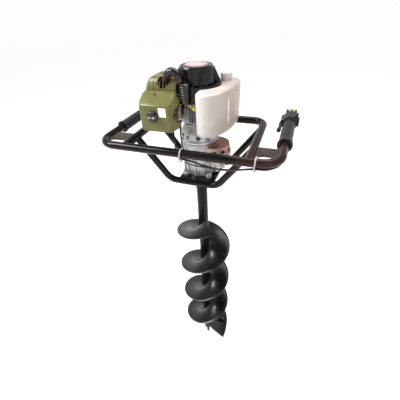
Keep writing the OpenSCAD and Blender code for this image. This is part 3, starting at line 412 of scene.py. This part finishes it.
def hull_piece(name, pts, bevel, mat, body, segs=4, drop=None, shell=0.0, rep=()):
    """Convex shape of points (mm) with rounded edges, open on the dropped side and given a wall."""
    bm = bmesh.new()
    for p in pts:
        bm.verts.new(Vector(p) * MM)
    bmesh.ops.convex_hull(bm, input=bm.verts)
    bmesh.ops.dissolve_limit(bm, angle_limit=math.radians(1), verts=bm.verts, edges=bm.edges)
    if drop:
        ax, val = drop
        es = [e for e in bm.edges if not all(abs(v.co[ax] - val * MM) < 2e-4 for v in e.verts)]
    else:
        es = list(bm.edges)
    bmesh.ops.bevel(bm, geom=es, offset=bevel * MM, segments=segs, profile=0.5, affect="EDGES", clamp_overlap=True)
    if drop:
        fs = [f for f in bm.faces if all(abs(v.co[ax] - val * MM) < 2e-4 for v in f.verts)]
        bmesh.ops.delete(bm, geom=fs, context="FACES")
    me = bpy.data.meshes.new(name)
    bm.to_mesh(me)
    bm.free()
    o = bpy.data.objects.new(name, me)
    S.collection.objects.link(o)
    me.materials.append(M[mat])
    if shell:
        so = o.modifiers.new("w", "SOLIDIFY")
        so.thickness = shell * MM
        so.offset = -1
        apply_mods(o)
    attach(o, body)
    if rep:
        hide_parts(*rep)
    angle_smooth(o, 40)
    return o


def cut(o, cutters):
    for i, c in enumerate(cutters):
        b = o.modifiers.new("b%d" % i, "BOOLEAN")
        b.operation = "DIFFERENCE"
        b.solver = "EXACT"
        b.object = c
    apply_mods(o)
    for c in cutters:
        bpy.data.objects.remove(c)
    return o


def tmp_box(lo, hi):
    bm = bmesh.new()
    bmesh.ops.create_cube(bm, size=1.0)
    for v in bm.verts:
        v.co = Vector([(lo[i] + hi[i]) / 2 + v.co[i] * (hi[i] - lo[i]) for i in range(3)]) * MM
    me = bpy.data.meshes.new("t")
    bm.to_mesh(me)
    bm.free()
    o = bpy.data.objects.new("t", me)
    S.collection.objects.link(o)
    return o


def tmp_cyl(p, axis, r, h, n=48, r2=None):
    bm = bmesh.new()
    bmesh.ops.create_cone(bm, cap_ends=True, segments=n, radius1=r * MM, radius2=(r if r2 is None else r2) * MM, depth=h * MM)
    q = Vector((0, 0, 1)).rotation_difference(Vector(axis).normalized())
    for v in bm.verts:
        v.co = q @ (v.co + Vector((0, 0, h * MM / 2))) + Vector(p) * MM
    me = bpy.data.meshes.new("t")
    bm.to_mesh(me)
    bm.free()
    o = bpy.data.objects.new("t", me)
    S.collection.objects.link(o)
    return o


def small_bevel(o, w=0.5, segs=2, ang=30):
    b = o.modifiers.new("edge", "BEVEL")
    b.width = w * MM
    b.segments = segs
    b.limit_method = "ANGLE"
    b.angle_limit = math.radians(ang)
    b.harden_normals = False
    b.use_clamp_overlap = True
    return o

# ---------------------------------------------------------------- camera and light
cam_d = bpy.data.cameras.new("cam")
cam = bpy.data.objects.new("cam", cam_d)
S.collection.objects.link(cam)
right = Vector((0.9436, 0.3284, -0.0422))
up = Vector((-0.1671, 0.5824, 0.7956))
fw = Vector((-0.2859, 0.7436, -0.6044))
fw.normalize()
right = (right - fw * right.dot(fw)).normalized()
up = right.cross(fw)
cam.matrix_world = Matrix(((right.x, up.x, -fw.x, 0.2524), (right.y, up.y, -fw.y, -0.6807),
                           (right.z, up.z, -fw.z, 1.4703), (0, 0, 0, 1)))
cam_d.lens = 23.707
cam_d.sensor_width = 36.0
cam_d.clip_start = 0.01
cam_d.clip_end = 50
S.camera = cam
S.render.resolution_x = 400
S.render.resolution_y = 400
S.render.resolution_percentage = 100

w = bpy.data.worlds.new("w")
S.world = w
w.use_nodes = True
bg = w.node_tree.nodes.get("Background")
bg.inputs["Color"].default_value = (1.0, 0.985, 0.97, 1)
wn, wl = w.node_tree.nodes, w.node_tree.links
wt = wn.new("ShaderNodeTexCoord")
ws = wn.new("ShaderNodeSeparateXYZ")
wl.new(wt.outputs["Generated"], ws.inputs["Vector"])
wm = wn.new("ShaderNodeMapRange")
wm.interpolation_type = "SMOOTHSTEP"
wm.inputs["From Min"].default_value = 0.12
wm.inputs["From Max"].default_value = 0.45
wm.inputs["To Min"].default_value = 1.0
wm.inputs["To Max"].default_value = 0.42
wl.new(ws.outputs["Z"], wm.inputs["Value"])
wl.new(wm.outputs["Result"], bg.inputs["Strength"])


def area(name, loc, target, size, power, color=(1, 1, 1)):
    ld = bpy.data.lights.new(name, "AREA")
    ld.shape = "RECTANGLE"
    ld.size = size[0]
    ld.size_y = size[1]
    ld.energy = power
    ld.color = color
    o = bpy.data.objects.new(name, ld)
    S.collection.objects.link(o)
    o.location = loc
    d = Vector(target) - Vector(loc)
    o.rotation_euler = d.to_track_quat("-Z", "Y").to_euler()
    return o


area("key", (-1.8, -0.9, 2.9), (0, 0, 0.9), (1.3, 1.3), 92)
area("fill", (1.6, -2.0, 2.0), (0, 0, 0.8), (1.6, 1.2), 14)
area("top", (0.2, 0.8, 3.2), (0, 0, 1.1), (2.0, 1.2), 40)

bpy.ops.mesh.primitive_plane_add(size=80, location=(0, 0, -0.001))
floor = bpy.context.object
floor.name = "studio_floor"
fm, fnt, fp = new_mat("floor")
fp.inputs["Base Color"].default_value = (0.72, 0.72, 0.72, 1)
fp.inputs["Emission Color"].default_value = (1.0, 0.995, 0.99, 1)
fp.inputs["Emission Strength"].default_value = 0.62
fp.inputs["Roughness"].default_value = 0.7
floor.data.materials.append(fm)

# ---------------------------------------------------------------- frame
def V(*p):
    return Vector(p) * MM


HX = 241.0
FZ = 1164.0
FY = -135.0

# ribbed rubber sleeve on the left arm
prof = [(11.1, -13.0), (17.2, -13.0), (17.6, -12.2), (17.6, -8.8), (17.0, -8.0), (15.2, -7.6)]
y = -6.0
while y < 113:
    prof += [(15.1, y), (15.75, y + 0.6), (15.75, y + 2.2), (15.1, y + 2.8)]
    y += 4.1
prof += [(15.1, 116.0), (16.8, 117.4), (17.1, 119.0), (16.6, 121.6), (14.5, 122.8), (0.0, 123.0)]
grip = revolve("left_sleeve", [(r * MM, h * MM) for r, h in prof], V(-250, 0, FZ), (0, 1, 0), "grip_rubber", "frame", n=96)
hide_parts("left_grip")

# moulded throttle handle halves, remeshed to get rounded edges
for nm, nd in (("grip_shell_upper", "throttle_handle_upper"), ("grip_shell_lower", "throttle_handle_lower")):
    g = soften(nm, [nd], 0.0011, 5)
    cut(g, [tmp_box((HX - 31.5, 61.7, FZ - 5.3), (HX - 10.8, 136.3, FZ + 5.3))])
    angle_smooth(g, 45)
soften("trigger_shaped", ["throttle_trigger"], 0.0007, 4)
soften("lock_shaped", ["trigger_lock"], 0.0006, 4)

# cords along their CAD routes
CA = [(236, -29, 1149), (238, -60, 1149), (238, -86, 1150), (229, -112, 1150), (210, -130, 1150), (188, -136, 1149.5),
      (160, -139, 1145), (128, -141, 1139), (92, -142, 1138), (56, -141, 1143), (24, -138, 1148), (1, -136, 1149.5),
      (-10, -131, 1148), (-22, -118, 1153), (-34, -98, 1172), (-44, -80, 1190), (-50, -68, 1204), (-53, -62, 1215),
      (-54, -60, 1225.8)]
CB = [(244, -29, 1149), (245, -60, 1149), (244, -86, 1150), (234, -116, 1150), (212, -136, 1150), (188, -142, 1151),
      (160, -146, 1149), (128, -149, 1145), (92, -150, 1143), (56, -149, 1143), (32, -147, 1143), (16, -141, 1142),
      (8, -131, 1144), (-1, -117, 1150), (-12, -100, 1166), (-24, -78, 1185), (-33, -56, 1200), (-36, -42, 1214),
      (-36, -39.5, 1230), (-36, -39.5, 1246), (-36, -39.5, 1262)]
c = sweep("cable_sheath", [p * MM for p in catmull(CA, 10)], 2.5 * MM, "cable_black", "frame", m=18)
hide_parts("throttle_cable")
c = sweep("switch_lead", [p * MM for p in catmull(CB, 10)], 2.0 * MM, "cable_black", "frame", m=16)
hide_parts("stop_switch_lead")

# ---------------------------------------------------------------- power head
for nm, nds, vx, it in (("case_casting", ["gearbox_case"], 0.0011, 4), ("cover_casting", ["gearbox_cover"], 0.0011, 3),
                        ("housing_casting", ["clutch_housing"], 0.0011, 4), ("crankcase_casting", ["crankcase"], 0.0011, 3)):
    soften(nm, nds, vx, it, mat="cast_alloy_painted_reflection" if nm == "cover_casting" else None)
# the braces take the brown painted-reflection copy of the frame paint
NODES["handle_braces"].data.materials.clear()
NODES["handle_braces"].data.materials.append(M["brace_painted_reflection"])

# moulded upper cover over the cylinder
def cover_pts(e=0.0):
    out = []
    for (x0, x1, y0, y1, z) in ((-122, -28, -58, 42, 1268), (-122, -28, -58, 42, 1294), (-117, -33, -50, 34, 1314),
                                (-108, -42, -42, 24, 1322)):
        for x in (x0 + e, x1 - e):
            for y in (y0 + e, y1 - e):
                out.append((x, y, z if z < 1300 else z - e * 0.4))
    return out


up_cover = hull_piece("upper_cover", cover_pts(), 5.0, "olive_plastic", "frame", segs=5, drop=(2, 1268), shell=2.4,
                      rep=("cylinder_cover",))
cuts = [tmp_cyl((0, 0, 1255), (0, 0, 1), 61, 90, 128)]
PD = Vector((math.sin(math.radians(35)) * math.cos(math.radians(-55.5)),
             math.sin(math.radians(35)) * math.sin(math.radians(-55.5)), math.cos(math.radians(35))))
PP = Vector((-98, -8, 1244))
cuts.append(tmp_cyl(PP + PD * 10, PD, 16.0, 90, 48))
for i in range(5):
    cuts.append(tmp_box((-106 + i * 11, -20, 1300), (-102 + i * 11, 16, 1340)))
cuts.append(tmp_cyl((-27, -56.5, 1285), (0, 0, 1), 10.5, 60, 48))
cut(up_cover, cuts)
angle_smooth(up_cover, 40)
skirt = []
for i, (lo, hi) in enumerate((((-122, -44, 1206), (-119.4, 40, 1269)), ((-122, -44, 1206), (-105, -41.4, 1269)))):
    b = tmp_box(lo, hi)
    b.name = "cover_skirt_%d" % i
    b.data.materials.append(M["olive_plastic"])
    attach(b, "frame")
    small_bevel(b, 0.8)

# lower box of the air filter
box_pts = []
for (x0, x1, y, z0, z1) in ((-116, -31, -78.2, 1203, 1293), (-126, -19, -78.2, 1213, 1278), (-114, -32, -88, 1203, 1290),
                            (-125.5, -19.5, -88, 1213, 1276), (-113, -33, -116, 1207, 1272)):
    for x in (x0, x1):
        for z in (z0, z1):
            box_pts.append((x, y, z))
low_cover = hull_piece("air_box_shell", box_pts, 6.5, "olive_plastic", "frame", segs=7, drop=(1, -78.2), shell=2.4,
                       rep=("air_box_cover",))
cut(low_cover, [tmp_cyl((-76, -130, 1247), (0, 1, 0), 4.4, 40, 48), tmp_cyl((-37, -82, 1246), (1, 0, 0), 22, 40, 64)])
angle_smooth(low_cover, 40)

# knob with finger scallops
prof = [(0.0, 128), (10.5, 128), (12.6, 127.2), (13.8, 125.4), (14.0, 123.5), (14.0, 118.5), (13.2, 116.6), (4.0, 116.3),
        (3.95, 94.2), (2.5, 94.1), (2.5, 81), (0, 81)]
knob = revolve("knob_moulded", [(r * MM, h * MM) for r, h in prof], V(-76, 0, 1247), (0, -1, 0), "knob_plastic", "knob", n=120)
sc = []
for a in range(45, 360, 90):
    t = math.radians(a)
    sc.append(tmp_cyl((-76 + 15.2 * math.cos(t), -129, 1247 + 15.2 * math.sin(t)), (0, 1, 0), 4.2, 8, 40))
cut(knob, sc)
angle_smooth(knob, 38)
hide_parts("cover_knob")

# fuel tank: CAD outline remeshed and relaxed into a blow-moulded shape
bmt = bmesh.new()
bmt.from_mesh(NODES["fuel_tank"].data)
z_low = min(v.co.z for v in bmt.verts)
foot = [f for f in bmt.faces if max(v.co.z for v in f.verts) < z_low + 0.0001]
ids, tv, tf, edge_n = {}, [], [], {}
for f in foot:
    for v in f.verts:
        key = (round(v.co.x, 7), round(v.co.y, 7))
        if key not in ids:
            ids[key] = len(ids)
n_t = len(ids)
for key in ids:
    tv.append((key[0], key[1], z_low))
for key in ids:
    tv.append((key[0], key[1], 1.300))
for f in foot:
    loop = [ids[(round(v.co.x, 7), round(v.co.y, 7))] for v in f.verts]
    tf.append(tuple(loop))
    tf.append(tuple(n_t + q for q in reversed(loop)))
    for q in range(len(loop)):
        e = (loop[q], loop[(q + 1) % len(loop)])
        edge_n[e] = 1
for (a_, b_) in list(edge_n):
    if (b_, a_) not in edge_n:
        tf.append((b_, a_, n_t + a_, n_t + b_))
bmt.free()
tank = obj_from("tank_moulded", tv, tf, "tank_plastic", "frame")
r_ = tank.modifiers.new("r", "REMESH")
r_.mode = "VOXEL"
r_.voxel_size = 0.0020
r_.use_smooth_shade = True
s_ = tank.modifiers.new("s", "SMOOTH")
s_.iterations = 40
s_.factor = 0.6
apply_mods(tank)
tank.data.materials.clear()
tank.data.materials.append(M["tank_plastic"])
cut(tank, [tmp_cyl((66, 45, 1280), (0, 0, 1), 11.2, 60, 64)])
angle_smooth(tank, 40)
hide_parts("fuel_tank")
revolve("tank_neck", [(11.2 * MM, 1294 * MM), (14.0 * MM, 1294 * MM), (14.0 * MM, 1305.4 * MM), (13.5 * MM, 1306 * MM), (11.2 * MM, 1306 * MM)],
        V(66, 45, 0), (0, 0, 1), "tank_plastic", "frame", n=72, closed=True)

# plug boot
bp = [PP + PD * 55, PP + PD * 66, Vector((-71, -44.5, 1309)), Vector((-66.5, -48, 1319)), Vector((-60.5, -51, 1328.5)),
      Vector((-51, -52.5, 1335)), Vector((-42, -53.5, 1335)), Vector((-34, -54.5, 1329)), Vector((-29, -55.5, 1320)),
      Vector((-27, -56.5, 1311))]
bp = [p + Vector((3.0 * min(1.0, i / 2.0), 0, 0)) for i, p in enumerate(bp)]
path = [p * MM for p in catmull(bp, 10)]
boot = sweep("boot_arch", path, 10.3 * MM, "boot_rubber", "frame", m=40,
             rad=lambda i, n: (1.0 - 0.2 * max(0.0, (i / n - 0.55) / 0.45)) * (0.95 if i % 12 in (5, 6) else 1.0))
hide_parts("plug_boot")
prof = [(5.7, 32), (11.4, 32), (12.0, 32.8), (12.0, 54.5), (11.4, 57), (9.4, 60), (0.0, 60.1)]
revolve("boot_cap", [(r * MM, h * MM) for r, h in prof], PP * MM, PD, "boot_rubber", "frame", n=64)

# starter details

revolve("top_disc", [(r * MM, h * MM) for r, h in ((0, 4.75), (10, 4.35), (24, 2.6), (28.0, 1.7), (28.4, 1.0), (28.4, -0.6))],
        V(0, 0, 1342.8),
        (0, 0, 1), "disc_grey", "frame", n=128)
revolve("disc_ring", [(28.3 * MM, -0.6 * MM), (28.3 * MM, 1.5 * MM), (30.5 * MM, 1.2 * MM), (33.2 * MM, 0.5 * MM), (34.0 * MM, 0.0), (34.0 * MM, -0.9 * MM)],
        V(0, 0, 1342.8), (0, 0, 1), "disc_edge", "frame", n=128, closed=True)
# pull handle of the starter and the rope that leaves its guide
hp = []
for i in range(64):
    t_ = i / 63.0
    hp.append((0.0, t_))
prof = [(0.0, 0.0), (7.0, 0.0), (8.6, 1.0), (9.2, 3.0)]
z_ = 5.0
while z_ < 43.0:
    b_ = 9.3 + 2.6 * (z_ / 50.0)
    prof += [(b_, z_), (b_, z_ + 3.6), (b_ - 0.7, z_ + 4.2), (b_ - 0.7, z_ + 5.4)]
    z_ += 6.0
prof += [(12.0, 47.0), (11.4, 50.0), (9.0, 51.6), (0.0, 52.0)]
pull = revolve("pull_moulded", [(r * MM, h * MM) for r, h in prof], V(-8, -70, 1262), (0, 0, 1), "pull_plastic", "handle", n=96)
pull.data.transform(Matrix.Translation(V(-8, -70, 1262)) @ Matrix.Diagonal((1.0, 0.62, 1.0, 1.0)) @ Matrix.Translation(-V(-8, -70, 1262)))
neck = revolve("pull_neck", [(0.0, 0.0), (5.4 * MM, 0.0), (4.6 * MM, 3.0 * MM), (3.0 * MM, 7.5 * MM), (2.0 * MM, 10.5 * MM), (0.0, 10.5 * MM)],
               V(-8, -64.5, 1309), (0, 1, 0), "pull_plastic", "handle", n=64)
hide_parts("starter_handle")
# rope between the guide and the pull handle
rv, rf, rn, rm = [], [], 130, 16
for i in range(rn + 1):
    yy = -44.0 - 21.0 * i / rn
    for j in range(rm):
        t_ = 2 * math.pi * j / rm
        rv.append(V(-8 + 1.6 * math.cos(t_), yy, 1309 + 1.6 * math.sin(t_)))
for i in range(rn):
    for j in range(rm):
        rf.append((i * rm + j, (i + 1) * rm + j, (i + 1) * rm + (j + 1) % rm, i * rm + (j + 1) % rm))
rf.append(tuple(range(rm)))
rf.append(tuple(rn * rm + j for j in range(rm - 1, -1, -1)))
rme = bpy.data.meshes.new("pull_rope")
rme.from_pydata([tuple(v) for v in rv], [], rf)
rme.validate()
rope = bpy.data.objects.new("pull_rope", rme)
S.collection.objects.link(rope)
rme.materials.append(M["rope_nylon"])
for p_ in rme.polygons:
    p_.use_smooth = True
bmr = bmesh.new()
bmr.from_mesh(rme)
bmesh.ops.recalc_face_normals(bmr, faces=bmr.faces)
bmr.to_mesh(rme)
bmr.free()
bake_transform(rope)
# backing plate of the air box, notched for the choke plate
plate = tmp_box((-121, -78, 1205), (-21, -74.1, 1289))
plate.name = "air_box_plate"
cut(plate, [tmp_cyl((-55, -90, 1240), (0, 1, 0), 8, 40, 48), tmp_box((-39, -80, 1220), (-9, -72, 1274))])
st = tmp_cyl((-76, -94, 1247), (0, 1, 0), 5, 16.5, 48)
st.name = "air_box_stud"
cut(st, [tmp_cyl((-76, -96, 1247), (0, 1, 0), 2.6, 15, 32)])
for o_ in (plate, st):
    o_.data.materials.clear()
    o_.data.materials.append(M["black_plastic"])
    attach(o_, "frame")
    small_bevel(o_, 0.4)
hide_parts("air_box_base")
# painted shade: dark boxes set into the gaps between the ribs of the crankcase
for i in range(7):
    b = tmp_box((-10.5 + i * 6, -41.0 + max(0, i - 3) * 1.6, 1206), (-7.3 + i * 6, -30, 1256))
    b.name = "rib_gap_painted_shade_%d" % i
    b.data.materials.append(M["painted_gap_shade"])
    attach(b, "frame")
# moulded ribs on the slope of the upper cover
for i in range(8):
    x_ = -110 + i * 9.5
    sweep("cover_rib_%d" % i, [V(x_, -58.0, 1293.5), V(x_ + 0.1, -56.6, 1297), V(x_ + 0.4, -53.2, 1305.5), V(x_ + 0.8, -50.4, 1312.5)],
          1.1 * MM, "olive_plastic", "frame", m=14)
# cover screw at the first listed position; the second position is skipped
for i, (x_, y_, z_) in enumerate(((-80, -86, 1291.2), (-112, -66, 1292.6))):
    if i == 0:
        revolve("cover_screw_%d" % i, [(0, 0.9 * MM), (2.6 * MM, 0.8 * MM), (3.6 * MM, 0.2 * MM), (3.8 * MM, -1.0 * MM), (0, -1.0 * MM)],
                V(x_, y_, z_), (0, 0, 1), "coil_black", "frame", n=40)
# ring of grip notches round the starter drum
for i in range(24):
    a = math.radians(i * 15 + 4)
    if i in (1, 7, 13, 20):
        continue
    b = tmp_box((-1.2, -1.6, 1310), (1.2, 0.9, 1336))
    b.name = "drum_rib_%02d" % i
    b.data.transform(Matrix.Rotation(a, 4, "Z") @ Matrix.Translation(V(0, -43.2, 0)))
    b.data.materials.append(M["black_plastic"])
    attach(b, "frame")
    small_bevel(b, 0.5)
# plain label beside the knob
lab = tmp_box((-61, -117.0, 1246), (-41, -115.9, 1268))
lab.name = "plain_label"
lab.data.materials.append(M["sticker"])
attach(lab, "frame")
small_bevel(lab, 0.3)
# knob face: raised cross bar and slot
for i, (hx_, hz_) in enumerate(((9.5, 2.2), (2.2, 9.5))):
    b = tmp_box((-76 - hx_, -128.6, 1247 - hz_), (-76 + hx_, -127.6, 1247 + hz_))
    b.name = "knob_bar_%d" % i
    b.data.materials.append(M["zinc_steel"] if i == 0 else M["knob_plastic"])
    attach(b, "knob")
    small_bevel(b, 0.4)
# bead moulded on the tank's outer wall, in a lighter tone than the tank plastic as a painted highlight
n_b = 40
bead = [V(96.6, -52.2, 1220 + 66 * i / n_b) for i in range(n_b + 1)]
sweep("tank_bead", bead, 3.0 * MM, "bead_painted_highlight", "frame", m=16,
      rad=lambda i, n: max(0.15, min(1.0, 1.6 * math.sin(math.pi * (i + 0.4) / (n - 0.2)))))
# yellow fitting on the fuel line
fit = [V(14, -64.2, 1252.4), V(10.5, -62.3, 1253.9), V(7, -60.6, 1255)]
sweep("line_fitting", catmull([tuple(v) for v in fit], 4), 4.6 * MM, "fuel_hose", "frame", m=24)
# bright rim round the choke plate
revolve("choke_rim", [(13.2 * MM, 0), (16.9 * MM, 0), (17.0 * MM, -0.0006), (17.0 * MM, -0.0016), (15.4 * MM, -0.0024), (13.6 * MM, -0.002)],
        V(-24.6, -60, 1240), (1, 0, 0), "rim_bright", "frame", n=96, closed=True)
# ---------------------------------------------------------------- bit
def flight_z(a):
    return 185.0 * (a - 97) / 360 + 735


def helix(name, a0, a1, n, radii, t, mat, zf, body="bit"):
    vs, fs = [], []
    k = len(radii)
    ring = [(r, 1) for r in radii] + [(r, -1) for r in reversed(radii)]
    m = len(ring)
    for i in range(n + 1):
        a = a0 + (a1 - a0) * i / n
        ca, sa = math.cos(math.radians(a)), math.sin(math.radians(a))
        for j, (r, s) in enumerate(ring):
            th = t / 2 if (j not in (k - 1, k)) else t / 2 * 0.55
            rr = r if j not in (k - 1, k) else r
            vs.append(V(rr * ca, rr * sa, zf(a) + s * th))
    for i in range(n):
        for j in range(m):
            fs.append((i * m + j, (i + 1) * m + j, (i + 1) * m + (j + 1) % m, i * m + (j + 1) % m))
    fs.append(tuple(range(m)))
    fs.append(tuple(n * m + j for j in range(m - 1, -1, -1)))
    o = obj_from(name, vs, fs, mat, body)
    bm = bmesh.new()
    bm.from_mesh(o.data)
    bmesh.ops.recalc_face_normals(bm, faces=bm.faces)
    bm.to_mesh(o.data)
    bm.free()
    angle_smooth(o, 35)
    return o


fl = helix("flight_plate", -1080, 303.3, 900, [18.2, 30, 50, 70, 88, 98.6, 100], 4.0, "flight_paint", flight_z)
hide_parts("auger_flight")
for s, nm in ((1, "weld_top"), (-1, "weld_bottom")):
    pts = []
    for i in range(701):
        a = -1078 + i * 1379.0 / 700
        wob = 0.35 * math.sin(i * 1.7) + 0.25 * math.sin(i * 0.73 + 1)
        r = 18.9 + 0.25 * math.sin(i * 2.3)
        pts.append(V(r * math.cos(math.radians(a)), r * math.sin(math.radians(a)), flight_z(a) + s * (2.7 + wob * 0.4)))
    sweep(nm, pts, 1.7 * MM, "weld", "bit", m=8, rad=lambda i, n: 1 + 0.12 * math.sin(i * 2.1))

NODES["blade_bolts"].data.materials.clear()
NODES["blade_bolts"].data.materials.append(M["bolt_dark"])
# remaining CAD nodes keep their shape and get softened edges
SHOWN = [n for n, o in NODES.items() if not o.hide_render]
for n in SHOWN:
    for p in NODES[n].data.polygons:
        pass
    small_bevel(NODES[n], 0.5, 2, 32)

# ---------------------------------------------------------------- render
S.render.engine = "CYCLES"
S.cycles.samples = 256
S.cycles.use_denoising = True
S.cycles.max_bounces = 8
S.view_settings.view_transform = "Standard"
S.view_settings.look = "None"
S.view_settings.exposure = 0.0
